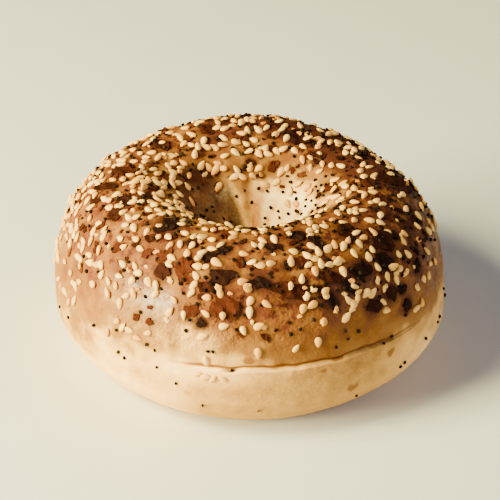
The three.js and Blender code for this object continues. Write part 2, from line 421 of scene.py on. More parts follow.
def flake_cover(theta, turn):
    """Where the solid's flakes lie: on top, most of them on the right."""
    return band(turn, 30, 48, 112, 138) * (0.62 + 0.38 * facing(theta, 345))


def crumb_cover(theta, turn):
    """Where small bits of onion lie: everywhere on top, fewer along the front."""
    clump = noise.noise(Vector((7 * math.cos(theta), 7 * math.sin(theta), turn / 9 + 5)))
    thick = lerp(0.85, 0.55, nearness(theta, 262)) + 0.8 * clump
    return band(turn, 26, 52, 118, 146) * max(thick, 0.03)


def granule_cover(theta, turn):
    return band(turn, 20, 44, 118, 146)


def poppy_cover(theta, turn):
    """Where the poppy seeds lie: all over the top and the hole's wall, and a few down the side."""
    return max(0.05 * band(turn, -18, 6, 170, 178), band(turn, 26, 52, 150, 175))


def scatter(ring, seed, count, spacing, cover, turns, taken=()):
    """Draws places on the ring, keeping each by how thickly that spot is covered and by how much crust is
    there, and clear of the spots already taken."""
    draw = random_stream(seed)
    spots = np.empty((len(taken) + count, 3))
    spots[: len(taken)] = np.reshape(taken, (-1, 3))
    places = []
    while len(places) < count:
        theta = TURN * next(draw)
        turn = lerp(*turns, next(draw))
        luck, heading, size = next(draw), TURN * next(draw), next(draw)
        spot, beyond, before = skin(ring, theta, np.array([turn, turn + 1, turn - 1]))
        area = math.hypot(spot[0], spot[1]) * np.linalg.norm(beyond - before) / MOST_AREA
        if luck > cover(theta, turn) * area:
            continue
        used = len(taken) + len(places)
        if used and np.linalg.norm(spots[:used] - spot, axis=1).min() < spacing:
            continue
        spots[used] = spot
        places.append((theta, turn, heading, size))
    return [scattered_spot(ring, *place) for place in places]


def scattered_spot(ring, theta, turn, heading, size):
    point, round_ring, up_section, out = skin_frame(ring, theta, np.array(turn))
    along = round_ring * math.cos(heading) + up_section * math.sin(heading)
    return Spot(point, out, along, size, math.modf(heading * 7.13)[0])


def off_middle(view, x, y):
    """How far a pixel lies right of and above the frame's middle, at one unit in front of the camera."""
    half = FRAME_PIXELS / 2
    per_unit = view.pixels_per_metre * view.distance
    return (x - half) / per_unit, (half - y) / per_unit


def camera_matrix(view):
    """Where the camera stands and how it is turned, with its middle a little off the bagel's."""
    looking = aimed(-90, view.elevation / DEGREE, view.distance, (0, 0, view.middle_height))
    across, up = off_middle(view, view.middle_x, view.middle_y)
    return looking @ Matrix.Rotation(across, 4, "Y") @ Matrix.Rotation(-up, 4, "X")


def first_hit(trees, *ray):
    """Where a ray first meets one of the surfaces, as ray_cast gives it, or None."""
    hits = [tree.ray_cast(*ray) for tree in trees]
    return min((hit for hit in hits if hit[0] is not None), key=lambda hit: hit[3], default=None)


def seen_spot(scene, trees, x, y, heading, size, luck):
    """The spot on the crust that shows at a pixel of the photograph, or None beside the bagel."""
    view = scene.bagel_view
    camera = camera_matrix(view)
    ray = camera.to_3x3() @ Vector((*off_middle(view, x, y), -1))
    hit = first_hit(trees, camera.translation, ray)
    if not hit:
        return None
    location, out, _, _ = hit
    across = (camera.to_3x3() @ Vector((1, 0, 0))).cross(out).normalized()
    along = out.cross(across) * math.cos(heading) + across * math.sin(heading)
    return Spot(np.array(location), np.array(out), np.array(along), size, luck)


def seen_spots(scene, trees, seed, pixels):
    draw = random_stream(seed)
    spots = []
    for x, y in pixels:
        heading, size, luck = TURN * next(draw), next(draw), next(draw)
        spots.append(seen_spot(scene, trees, x, y, heading, size, luck))
    return [spot for spot in spots if spot]


def faces_camera(scene, spot):
    away = camera_matrix(scene.bagel_view).translation - Vector(spot.point)
    return away.normalized().dot(Vector(spot.out)) > 0.1


def flake_spots(scene, trees):
    """Each onion flake's spot, half length and how burnt it is: first those that the photograph shows, then
    those of the solid that it doesn't, then the small bits."""
    ring, settings = scene.bagel_ring, scene.bagel_toppings
    flakes = []
    draw = random_stream(SEEN_FLAKE_SEED)
    for x, y, length, char in SEEN_FLAKES:
        heading, size, luck = lerp(-0.5, 0.5, next(draw)), next(draw), next(draw)
        spot = seen_spot(scene, trees, x, y, heading, size, luck)
        if spot:
            flakes.append((spot, length * MM / 2, char))
    for spot in scatter(ring, SOLID_FLAKE_SEED, SOLID_FLAKES, 5.2 * MM, flake_cover, (25, 142)):
        if not faces_camera(scene, spot):
            flakes.append((spot, settings.flake_radius * lerp(0.8, 1.4, spot.size), flake_char(spot)))
    taken = [spot.point for spot, _, _ in flakes]
    crumbs = scatter(ring, CRUMB_SEED, settings.crumb_count, 1.5 * MM, crumb_cover, (25, 146), taken)
    for spot in crumbs:
        flakes.append((spot, settings.crumb_radius * lerp(0.6, 1.5, spot.size**2), flake_char(spot)))
    return flakes


def flake_char(spot):
    """How burnt a flake is, from 0 to 1: more on the right than on the left."""
    theta = math.atan2(spot.point[1], spot.point[0])
    return float(np.clip(0.25 + 0.5 * nearness(theta, 350) + 0.7 * (spot.luck - 0.5), 0, 1))


def sesame_spots(scene, trees):
    ring, settings = scene.bagel_ring, scene.bagel_toppings
    spots = seen_spots(scene, trees, SEEN_SESAME_SEED, SEEN_SESAME)
    spots += scatter(ring, SOLID_SESAME_SEED, SOLID_SESAME, 2.1 * MM, sesame_cover, (-5, 152))
    taken = [spot.point for spot in spots]
    count = settings.sesame_count
    rest = scatter(ring, SESAME_SEED, count, 1.9 * MM, clumped_cover, (0, 146), taken)
    flakes = [(spot.point, radius) for spot, radius, _ in flake_spots(scene, trees) if radius > 1.6 * MM]
    return spots + [spot for spot in rest if not on_flake(spot, flakes)]


def on_flake(spot, flakes):
    return any(np.linalg.norm(spot.point - middle) < 0.8 * radius for middle, radius in flakes)


def poppy_spots(scene, trees):
    """The poppy seeds' spots, none of them on the middle of a sesame seed."""
    spots = seen_spots(scene, trees, SEEN_POPPY_SEED, SEEN_POPPY)
    taken = [spot.point for spot in spots + sesame_spots(scene, trees)]
    ring, count = scene.bagel_ring, scene.bagel_toppings.poppy_count
    return spots + scatter(ring, POPPY_SEED, count, 1.35 * MM, poppy_cover, (-18, 176), taken)


def perlin(points, size, offset=0.0):
    """Smooth noise from about -1 to 1 at each point, with features of a given size."""
    scaled = np.asarray(points) / size + offset
    return np.fromiter((noise.noise(Vector(p)) for p in scaled), float, len(scaled))


def crust_turns(ring):
    """The turns of the rows of the crust, closest together round the split."""
    split = ring.split_height
    steps = np.concatenate([np.linspace(-3.4, -0.8, 9), np.linspace(-0.6, -0.05, 5)])
    above = np.concatenate([np.linspace(0.05, 1.0, 8), np.linspace(1.3, 5.0, 10)])
    rows = [turn_at_height(ring, split + s * MM) for s in np.concatenate([steps, above])]
    return np.concatenate(
        [
            np.linspace(-90, 0, 22, endpoint=False),
            np.linspace(0, rows[0], 5, endpoint=False),
            rows,
            np.linspace(rows[-1], 90, 42, endpoint=False)[1:],
            np.linspace(90, 180, 50, endpoint=False),
            np.linspace(180, 270, 16),
        ]
    )


def crust_relief(scene, points, turn):
    """How far each point of the crust stands out from the smooth ring: lumps, wrinkles and blisters."""
    upper = smoothstep(8, 40, turn)
    off_base = band(turn, -80, -45, 215, 260)
    lumps = 0.42 * MM * perlin(points, 15 * MM, 3.1)
    swell = 0.20 * MM * perlin(points, 6 * MM, 7.7) * lerp(0.35, 1, upper)
    wrinkles = 0.07 * MM * perlin(points, 2.2 * MM, 1.3) * lerp(0.4, 1, upper)
    grain = 0.035 * MM * perlin(points, 1.1 * MM, 5.9)
    relief = off_base * (lumps + swell + wrinkles + grain)
    draw = random_stream(BLISTER_SEED)
    for _ in range(BLISTERS):
        spot = skin(scene.bagel_ring, TURN * next(draw), np.array([lerp(-30, 120, next(draw))]))[0]
        reach = lerp(0.9, 2.6, next(draw) ** 2) * MM
        rise = reach * lerp(0.06, 0.14, next(draw))
        near = np.linalg.norm(points - spot, axis=1) / reach
        relief += rise * np.clip(1 - near**2, 0, 1) ** 1.5
    return relief


def off_fold(theta, turn):
    """How many degrees round the ring a point lies from the fold in the hole's wall, from -180 to 180."""
    fold = 108 - 0.62 * (turn - 122)
    return np.mod(theta / DEGREE - fold + 180, 360) - 180


def funnel_fold(theta, turn):
    """The pinch in the hole's wall, which runs down and to the right, as a push away from the axis."""
    away = off_fold(theta, turn)
    ridge = -2.2 * MM * bell(away, 0, 12)
    hollow = 2.0 * MM * bell(away, 30, 17)
    creases = 0.22 * MM * np.cos(11 * theta + 0.05 * turn) + 0.15 * MM * np.cos(19 * theta - 0.08 * turn)
    return band(turn, 108, 130, 190, 225) * (ridge + hollow + creases)


def split_groove(ring, theta, height):
    """The torn line just above the lip, cut deeper into the side."""
    return -0.6 * MM * split_strength(theta) * bell(height - ring.split_height, 0.55 * MM, 0.42 * MM)


def back_right(theta):
    return smoothstep(0.3, 0.95, facing(theta, 55))


def browning(ring, points, theta, turn, height):
    """How far each point is baked: 0 is pale dough, 1 the darkest crust. It jumps at the split, where the
    pale lip is partly a painted highlight and the groove above it painted shade.
    """
    degrees = np.mod(theta / DEGREE, 360)
    tide = from_table(TIDE_LINE, degrees) + 4 * perlin(points, 7 * MM, 3.3)
    far_side = smoothstep(0.3, 0.95, facing(theta, 95))
    streak = bell(off_fold(theta, turn), 2, 12) * band(turn, 118, 128, 150, 172)
    inside = from_table(BAKED_IN_HOLE, turn - 9 * far_side) + 0.33 * streak
    tone = np.where(turn < 90, from_table(BAKED_ABOVE_TIDE, turn - tide), inside)
    tone = tone + 0.16 * back_right(theta) * smoothstep(30, 50, turn) * (turn < 104)
    right_side = smoothstep(-0.2, 0.75, facing(theta, 330))
    left_side = smoothstep(0.1, 0.9, facing(theta, 190))
    tone = tone + band(turn, 8, 24, 34, 62) * (0.28 * right_side + 0.06 * left_side)

    # The lip is made pale, partly torn dough and partly a painted highlight along its edge.
    torn = np.where(turn < 90, split_strength(theta), 0)
    above = (height - ring.split_height) / MM
    tone = lerp(tone, from_table(BAKED_AT_SPLIT, above), torn * (1 - smoothstep(0.1, 0.35, above)))
    # Just above the lip the groove is darkened as painted shade, and the crust stays darker for a few
    # millimetres above it.
    painted_groove_shade = 0.22 * bell(above, 0.6, 0.45)
    tone = tone + torn * (painted_groove_shade + 0.16 * np.exp(-np.maximum(above, 0) / 2.5))
    tone = tone - 0.25 * bell(degrees, 256, 20) * band(turn, 2, 12, 24, 38)

    patches = 0.10 * perlin(points, 13 * MM, 11.0) + 0.12 * perlin(points, 5 * MM, 2.2)
    patches += 0.08 * perlin(points, 2.4 * MM, 8.5)
    amount = from_table(PATCH_STRENGTH, turn) * (1 - 0.8 * torn * (above < 0))
    return np.clip(tone + amount * patches, 0, 1)


def scorching_and_shading(scene, points, theta, turn, trees):
    """How far the crust is darkened: burnt round each flake and in blotches on the right, and in the hole
    left of the fold, where the dark is partly the wall's own brown and partly painted shade.
    """
    burnt = np.zeros(len(points))
    for spot, radius, char in flake_spots(scene, trees):
        near = np.linalg.norm(points - spot.point, axis=1) / (1.3 * radius + 0.6 * MM)
        burnt = np.maximum(burnt, (0.35 + 0.65 * char) * np.exp(-(near**3)))
    right = np.clip(0.3 + facing(theta, 5), 0, 1)
    blotches = 0.8 * perlin(points, 7 * MM, 4.4) + 0.8 * perlin(points, 2.5 * MM, 9.1)
    blotches = smoothstep(-0.05, 0.5, blotches + 0.9 * back_right(theta))
    burnt = np.maximum(burnt, 0.9 * right * band(turn, 34, 54, 98, 116) * blotches)
    # Left of the fold in the hole the wall is darkened, partly its own brown and partly painted shade.
    left_of_fold = band(off_fold(theta, turn), 2, 20, 110, 170)
    hole_brown_and_shade = (0.84 + 0.2 * perlin(points, 6 * MM, 6.6)) * left_of_fold * band(turn, 108, 122, 165, 200)
    return np.maximum(burnt, hole_brown_and_shade)


def patchiness(theta, turn):
    """How thickly small dark spots lie in the crust: on top, most of all at the front right."""
    return band(turn, 26, 44, 100, 118) * lerp(0.42, 0.86, nearness(theta, 318))


def glossiness(theta, turn):
    """How much the crust shines: in a band low on top, at the right edge, and most at the front left."""
    right_edge = smoothstep(0.6, 0.95, facing(theta, 0)) * smoothstep(-5, 15, turn) * (turn < 90)
    shiny_patch = bell(turn, 33, 9) * smoothstep(0.86, 0.985, facing(theta, 242))
    gloss = np.maximum(0.5 * from_table(GLOSS, turn), 0.8 * right_edge)
    return np.maximum(gloss, 2.6 * shiny_patch)


def side_marks(scene, points, trees, baked):
    """Bakes the few golden marks into the pale side."""
    for x, y, radius, tone in SIDE_MARKS:
        spot = seen_spot(scene, trees, x, y, 0, 1, 0)
        offset = points - spot.point
        stretched = offset * (1, 1, 1.35)
        near = np.linalg.norm(stretched, axis=1) / (radius * MM)
        baked = lerp(baked, np.maximum(baked, tone), 1 - smoothstep(0.7, 1.05, near))
    return baked


def set_attribute(mesh, name, values):
    attribute = mesh.attributes.new(name, "FLOAT", "POINT")
    attribute.data.foreach_set("value", np.asarray(values, np.float32))


def vectors_of(mesh, name):
    flat = np.empty(len(mesh.vertices) * 3)
    mesh.vertices.foreach_get(name, flat)
    return flat.reshape(-1, 3)


def finish_piece(piece, material, smooth=True):
    """Links a finished piece and lets it ride on the bagel's one body."""
    bpy.context.scene.collection.objects.link(piece)
    piece.data.materials.append(material)
    piece.data.shade_smooth() if smooth else piece.data.shade_flat()
    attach(piece, "root")


def tree_of(mesh):
    faces = [tuple(p.vertices) for p in mesh.polygons]
    return BVHTree.FromPolygons([v.co.copy() for v in mesh.vertices], faces)


def surface_of(*names):
    """Search trees of finished pieces, for laying other pieces on them."""
    return [tree_of(bpy.data.objects[name].data) for name in names]


def drop(trees, spot, out):
    """Where a point above the crust lands when it is pushed straight in, and the way out of it there."""
    start = Vector(spot) + Vector(out) * DROP_REACH
    hit = first_hit(trees, start, -Vector(out), 2 * DROP_REACH)
    return hit[:2] if hit else (Vector(spot), Vector(out))


def taken_apart(bm):
    """The points and faces of a bmesh, which is freed."""
    bmesh.ops.recalc_face_normals(bm, faces=bm.faces)
    bm.verts.index_update()
    points = np.array([v.co for v in bm.verts])
    faces = [[v.index for v in f.verts] for f in bm.faces]
    bm.free()
    return points, faces


def template(segments, rings):
    """Points and faces of a unit ball whose poles lie along X."""
    bm = bmesh.new()
    bmesh.ops.create_uvsphere(
        bm,
        u_segments=segments,
        v_segments=rings,
        radius=1,
        matrix=Matrix.Rotation(math.pi / 2, 4, "Y"),
    )
    return taken_apart(bm)


def chip_template(corners):
    """Points and faces of a thin disc with two rings of corners, in a unit circle."""
    bm = bmesh.new()
    bmesh.ops.create_circle(bm, cap_ends=True, segments=corners, radius=1)
    bmesh.ops.inset_region(bm, faces=bm.faces[:], thickness=0.42, use_boundary=True)
    middle = [f for f in bm.faces if len(f.verts) == corners]
    bmesh.ops.poke(bm, faces=middle)
    bmesh.ops.solidify(bm, geom=bm.faces[:], thickness=1)
    points, faces = taken_apart(bm)
    points[:, 2] = np.where(points[:, 2] > points[:, 2].mean(), 1, 0)
    return points, faces


def joined(name, shapes, faces, values):
    """One mesh of many copies of a template: `shapes` holds each copy's own points."""
    mesh = bpy.data.meshes.new(name)
    size = len(shapes[0])
    all_faces = [[i + n * size for i in face] for n in range(len(shapes)) for face in faces]
    mesh.from_pydata(np.concatenate(shapes).tolist(), [], all_faces)
    for attribute, numbers in values.items():
        set_attribute(mesh, attribute, np.repeat(numbers, size))
    mesh.update()
    return bpy.data.objects.new(name, mesh)


def laid(points, location, normal, along, tilt=(0.0, 0.0)):
    """Points of a small shape, laid on a surface with its X axis along a direction."""
    out = Vector(normal).normalized()
    forward = Vector(along) - out * out.dot(Vector(along))
    forward.normalize()
    side = out.cross(forward)
    turned = Matrix((forward, side, out)).transposed()
    turned = turned @ Matrix.Rotation(tilt[0], 3, "X") @ Matrix.Rotation(tilt[1], 3, "Y")
    return points @ np.array(turned).T + np.array(location)


class NodeMaker:
    """Adds nodes to a tree and joins them."""

    def __init__(self, tree):
        self.tree = tree
        self.column = 0

    def add(self, kind, inputs=None, **settings):
        node = self.tree.nodes.new(kind)
        node.location = (self.column * 190, 0)
        self.column += 1
        for name, value in settings.items():
            setattr(node, name, value)
        for name, value in (inputs or {}).items():
            self.set(node.inputs[name], value)
        return node

    def set(self, socket, value):
        if isinstance(value, bpy.types.NodeSocket):
            self.tree.links.new(value, socket)
        elif hasattr(value, "__len__") and len(value) == 3 and socket.type == "RGBA":
            socket.default_value = (*value, 1)
        else:
            socket.default_value = value

    def attribute(self, name):
        return self.add("ShaderNodeAttribute", attribute_name=name).outputs["Fac"]

    def ramp(self, factor, stops):
        node = self.add("ShaderNodeValToRGB", {"Fac": factor})
        elements = node.color_ramp.elements
        while len(elements) < len(stops):
            elements.new(0.5)
        for element, (position, colour) in zip(elements, stops):
            element.position = position
            element.color = (*colour, 1)
        return node.outputs["Color"]

    def math(self, operation, a, b):
        return self.add("ShaderNodeMath", {0: a, 1: b}, operation=operation).outputs[0]

    def mix(self, factor, a, b, blend="MIX"):
        node = self.add("ShaderNodeMix", data_type="RGBA", blend_type=blend)
        for socket, value in zip((node.inputs[0], node.inputs[6], node.inputs[7]), (factor, a, b)):
            self.set(socket, value)
        return node.outputs[2]

    def spread(self, value, low, high, starts=0.0, ends=1.0, change="LINEAR"):
        """Takes a value that runs from `starts` to `ends` to one that runs from `low` to `high`."""
        limits = {"From Min": starts, "From Max": ends, "To Min": low, "To Max": high}
        node = self.add("ShaderNodeMapRange", {"Value": value, **limits}, interpolation_type=change)
        return node.outputs["Result"]


def mottle_group():
    """A node group that puts out fine and coarse mottling, shared by every material here."""
    if "Mottle" in bpy.data.node_groups:
        return bpy.data.node_groups["Mottle"]
    tree = bpy.data.node_groups.new("Mottle", "ShaderNodeTree")
    for name, side in (("Size", "INPUT"), ("Roughness", "INPUT"), ("Coarse", "OUTPUT"), ("Fine", "OUTPUT")):
        tree.interface.new_socket(name, in_out=side, socket_type="NodeSocketFloat")
    make = NodeMaker(tree)
    inputs = make.add("NodeGroupInput")
    where = make.add("ShaderNodeTexCoord").outputs["Object"]
    coarse = make.add(
        "ShaderNodeTexNoise",
        {"Vector": where, "Scale": inputs.outputs["Size"], "Roughness": inputs.outputs["Roughness"]},
    )
    finer = make.math("MULTIPLY", inputs.outputs["Size"], 4.3)
    fine = make.add("ShaderNodeTexNoise", {"Vector": where, "Scale": finer, "Detail": 3})
    make.add("NodeGroupOutput", {"Coarse": coarse.outputs["Fac"], "Fine": fine.outputs["Fac"]})
    return tree


def new_material(name):
    """A material with an empty tree, its maker and its shader."""
    material = bpy.data.materials.new(name)
    material.use_nodes = True
    tree = material.node_tree
    tree.nodes.clear()
    make = NodeMaker(tree)
    shader = make.add("ShaderNodeBsdfPrincipled")
    make.add("ShaderNodeOutputMaterial", {"Surface": shader.outputs["BSDF"]})
    return material, make, shader


def mottle(make, size, roughness=0.6):
    node = make.add("ShaderNodeGroup", node_tree=mottle_group())
    node.inputs["Size"].default_value = size
    node.inputs["Roughness"].default_value = roughness
    return node.outputs["Coarse"], node.outputs["Fine"]


def bump(make, height, strength, distance):
    node = make.add("ShaderNodeBump", {"Strength": strength, "Distance": distance, "Height": height})
    return node.outputs["Normal"]


def crust_material(colours):
    material, make, shader = new_material("Crust")
    coarse, fine = mottle(make, 260)
    baked = make.attribute("baked")
    change = make.math("ADD", make.spread(coarse, -0.24, 0.24), make.spread(fine, -0.14, 0.14))
    change = make.math("MULTIPLY", change, make.spread(baked, -0.1, 1.2))
    shade = make.math("ADD", baked, change)
    spots, _ = mottle(make, 330, 0.72)
    spots = make.spread(spots, 0.0, 0.62, 0.50, 0.70, "SMOOTHSTEP")
    shade = make.math("ADD", shade, make.math("MULTIPLY", spots, make.attribute("patchy")))
    stops = (
        (0.0, colours.pale),
        (0.10, colours.dough),
        (0.25, lerp(np.array(colours.dough), np.array(colours.tan), 0.5) * (1, 0.97, 0.75)),
        (0.38, colours.tan),
        (0.58, colours.golden),
        (0.80, colours.brown),
        (1.0, colours.scorch_and_shade),
    )
    colour = make.ramp(shade, stops)
    # This darkening is burnt crust, and on the hole's left wall it is partly painted shade.
    burnt = make.math("ADD", make.attribute("scorch_and_shade"), make.spread(fine, -0.15, 0.15))
    burnt = make.spread(burnt, 0.0, 0.95, 0.15, 0.95, "SMOOTHSTEP")
    colour = make.mix(burnt, colour, colours.scorch_and_shade)
    make.set(shader.inputs["Base Color"], colour)
    gloss = make.math("MULTIPLY", make.attribute("gloss"), make.math("SUBTRACT", 1.0, burnt))
    gloss = make.math("MULTIPLY", gloss, make.spread(coarse, 0.25, 1.0, 0.36, 0.6))
    gloss = make.math("MULTIPLY", gloss, make.spread(fine, 0.3, 1.0, 0.42, 0.58))
    make.set(shader.inputs["Roughness"], make.spread(make.math("MINIMUM", gloss, 1.0), 0.7, 0.42))
    make.set(shader.inputs["Coat Weight"], make.math("MINIMUM", make.spread(gloss, 0.0, 0.52), 1.0))
    shader.inputs["Coat Roughness"].default_value = 0.28
    shader.inputs["Coat Tint"].default_value = (1.0, 0.9, 0.84, 1.0)
    shader.inputs["Specular IOR Level"].default_value = 0.06
    relief = make.math("ADD", fine, make.math("MULTIPLY", coarse, 1.4))
    relief = make.math("MULTIPLY", relief, make.spread(make.attribute("gloss"), 0.4, 2.6))
    make.set(shader.inputs["Normal"], bump(make, relief, 0.6, 0.00045))
    return material


def seed_material(name, attribute, stops, roughness, bump_depth, mottle_size, shine=0.3, subsurface=0.0):
    """A matt or satin material whose colour follows an attribute from stop to stop, with mottling."""
    material, make, shader = new_material(name)
    coarse, fine = mottle(make, mottle_size)
    shade = make.math("ADD", make.attribute(attribute), make.spread(coarse, -0.16, 0.16))
    make.set(shader.inputs["Base Color"], make.ramp(shade, stops))
    make.set(shader.inputs["Roughness"], make.spread(fine, roughness - 0.1, roughness + 0.1))
    make.set(shader.inputs["Normal"], bump(make, fine, 0.6, bump_depth))
    shader.inputs["Specular IOR Level"].default_value = shine
    if subsurface:
        shader.inputs["Subsurface Weight"].default_value = subsurface
        shader.inputs["Subsurface Radius"].default_value = (1.0, 0.6, 0.3)
        shader.inputs["Subsurface Scale"].default_value = 0.001
    return material


class BAGEL_OT_crust(bpy.types.Operator):
    """Spin the bread's section round and shape its crust"""

    bl_idname = "bagel.crust"
    bl_label = "Crust"

    def execute(self, context):
        scene = context.scene
        ring = scene.bagel_ring
        turns = crust_turns(ring)
        radius, height = section(ring, turns)
        bm = bmesh.new()
        layer = bm.verts.layers.float.new("turn")
        loop = []
        for turn, r, z in zip(turns, radius, height):
            vert = bm.verts.new((r, 0, z))
            vert[layer] = turn
            loop.append(vert)
        edges = [bm.edges.new(pair) for pair in zip(loop, loop[1:] + loop[:1])]
        bmesh.ops.spin(
            bm,
            geom=loop + edges,
            cent=(0, 0, 0),
            axis=(0, 0, 1),
            angle=TURN,
            steps=ring.steps,
            use_merge=True,
        )
        bmesh.ops.recalc_face_normals(bm, faces=bm.faces)
        mesh = bpy.data.meshes.new("crust")
        bm.to_mesh(mesh)
        bm.free()

        even = vectors_of(mesh, "co")
        turn = np.empty(len(mesh.vertices))
        mesh.attributes["turn"].data.foreach_get("value", turn)
        theta = np.arctan2(even[:, 1], even[:, 0])
        r = np.hypot(even[:, 0], even[:, 1])
        z = np.where(even[:, 2] < 1e-7, 0, even[:, 2])
        outer = r > ring.crest_radius
        ragged = z + np.where(outer, waves(SPLIT_TAGS, theta) * split_strength(theta), 0)
        ragged = np.where(np.abs(z - ring.split_height) < 2 * MM, ragged, z)
        points = uneven(ring, theta, r, z)
        push = funnel_fold(theta, turn) + np.where(outer, split_groove(ring, theta, ragged), 0)
        points[:, 0] += push * np.cos(theta)
        points[:, 1] += push * np.sin(theta)
        mesh.vertices.foreach_set("co", points.ravel())
        mesh.update()
        normals = vectors_of(mesh, "normal")
        points = points + normals * crust_relief(scene, points, turn)[:, None]
        points[:, 2] = np.maximum(points[:, 2], 0)
        mesh.vertices.foreach_set("co", points.ravel())

        trees = [tree_of(mesh)]
        baked = browning(ring, points, theta, turn, ragged)
        baked = side_marks(scene, points, trees, baked)
        set_attribute(mesh, "baked", baked)
        set_attribute(mesh, "scorch_and_shade", scorching_and_shading(scene, points, theta, turn, trees))
        set_attribute(mesh, "gloss", glossiness(theta, turn))
        set_attribute(mesh, "patchy", patchiness(theta, turn))
        mesh.update()
        piece = bpy.data.objects.new("crust", mesh)
        finish_piece(piece, crust_material(scene.bagel_crust))
        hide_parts("bagel")
        return {"FINISHED"}


class BAGEL_OT_onion_flakes(bpy.types.Operator):
    """Lay the onion flakes on the crust"""

    bl_idname = "bagel.onion_flakes"
    bl_label = "Onion flakes"

    def execute(self, context):
        scene = context.scene
        settings = scene.bagel_toppings
        trees = surface_of("crust")
        points, faces = chip_template(FLAKE_CORNERS)
        corner = np.rint(np.arctan2(points[:, 1], points[:, 0]) / TURN * FLAKE_CORNERS).astype(int)
        corner = corner % FLAKE_CORNERS
        draw = random_stream(FLAKE_SHAPE_SEED)
        shapes, chars = [], []
        for spot, radius, char in flake_spots(scene, trees):
            side = np.cross(spot.out, spot.along)
            stretch = lerp(1.1, 1.6, spot.size)
            phase = TURN * spot.luck
            cuts = np.array([lerp(0.55, 1.25, next(draw)) for _ in range(FLAKE_CORNERS)])
            ragged = cuts[corner] * (1 + 0.18 * np.sin(2 * TURN * corner / FLAKE_CORNERS + phase))
            u = points[:, 0] * radius * ragged
            v = points[:, 1] * radius * ragged / stretch
            thick = min(FLAKE_THICKNESS, 0.3 * radius)
            curl = 0.16 * radius * math.sin(11 * phase) * (u / radius) * np.abs(u / radius)
            lift = curl + 0.09 * radius * np.sin(5 * u / radius + 4 * v / radius + phase)
            shape = []
            for uu, vv, up, rise in zip(u, v, points[:, 2], lift):
                above = spot.point + spot.along * uu + side * vv
                location, _ = drop(trees, above, spot.out)
                level = np.maximum(rise, -0.1 * MM) + lerp(-FLAKE_SUNK, thick, up)
                shape.append(np.array(location) + spot.out * level)
            shapes.append(np.array(shape))
            chars.append(char)
        piece = joined("onion_flakes", shapes, faces, {"char": chars})
        onion = np.array(settings.onion_colour)
        stops = (
            (0.0, onion * (1.9, 2.3, 2.2)),
            (0.3, onion),
            (0.6, onion * (0.50, 0.50, 0.6)),
            (0.95, onion * (0.20, 0.30, 0.6)),
        )
        material = seed_material("Onion", "char", stops, 0.7, 0.0004, 900, 0.04)
        finish_piece(piece, material, smooth=False)
        return {"FINISHED"}


class BAGEL_OT_garlic_granules(bpy.types.Operator):
    """Lay the garlic granules on the crust"""

    bl_idname = "bagel.garlic_granules"
    bl_label = "Garlic granules"

    def execute(self, context):
        scene = context.scene
        settings = scene.bagel_toppings
        trees = surface_of("crust", "onion_flakes")
        points, faces = template(6, 4)
        shapes, toasts = [], []
        count = settings.granule_count
        for spot in scatter(scene.bagel_ring, GRANULE_SEED, count, 2.2 * MM, granule_cover, (18, 150)):
            half = 0.5 * settings.granule_size * lerp(0.6, 1.3, spot.size)
            phase = TURN * spot.luck
            facets = 1 + 0.3 * np.sin(points @ (5 + phase, 7 - phase, 4 + 3 * spot.size) + phase)
            block = points * facets[:, None] * (1.15, 0.9, 0.62) * half
            location, normal = drop(trees, spot.point, spot.out)
            shapes.append(laid(block, location + normal * half * 0.25, normal, spot.along))
            toasts.append(spot.luck)
        piece = joined("garlic_granules", shapes, faces, {"toast": toasts})
        garlic = np.array(settings.garlic_colour)
        stops = ((0.0, garlic), (0.55, garlic * (0.92, 0.72, 0.5)), (0.95, garlic * (0.6, 0.33, 0.16)))
        material = seed_material("Garlic", "toast", stops, 0.5, 0.00012, 1500, 0.3, 0.08)
        finish_piece(piece, material, smooth=False)
        return {"FINISHED"}


class BAGEL_OT_sesame_seeds(bpy.types.Operator):
    """Lay the sesame seeds on the crust and the flakes"""

    bl_idname = "bagel.sesame_seeds"
    bl_label = "Sesame seeds"

    def execute(self, context):
        scene = context.scene
        settings = scene.bagel_toppings
        trees = surface_of("crust", "onion_flakes", "garlic_granules")
        ball, faces = template(8, 7)
        half_length = settings.sesame_length / 2
        half_width = settings.sesame_width / 2
        shapes, toasts = [], []
        draw = random_stream(SESAME_SHAPE_SEED)
        for spot in sesame_spots(scene, trees[:1]):
            scale = lerp(0.86, 1.12, spot.size)
            long = half_length * scale * lerp(0.92, 1.08, next(draw))
            wide = half_width * scale * lerp(0.88, 1.1, next(draw))
            thick = SESAME_HALF_THICKNESS * scale * lerp(0.85, 1.1, next(draw))
            x, y, z = ball.T
            narrowing = 1 - 0.36 * x - 0.12 * x * x
            seed = np.stack([x * long, y * wide * narrowing, z * thick * (1 - 0.25 * x)], 1)
            seed[:, 2] += 0.06 * MM * x * x
            location, normal = drop(trees, spot.point, spot.out)
            tilt = (lerp(-0.3, 0.3, next(draw)), lerp(-0.22, 0.22, next(draw)))
            shapes.append(laid(seed, location + normal * thick * 0.45, normal, spot.along, tilt))
            toasts.append(next(draw) ** 1.25)
        piece = joined("sesame_seeds", shapes, faces, {"toast": toasts})
        sesame = np.array(settings.sesame_colour)
        stops = ((0.0, sesame), (0.5, sesame * (0.94, 0.84, 0.70)), (1.0, sesame * (0.82, 0.62, 0.40)))
        material = seed_material("Sesame", "toast", stops, 0.45, 0.0001, 900, 0.2, 0.06)
        finish_piece(piece, material)
        return {"FINISHED"}


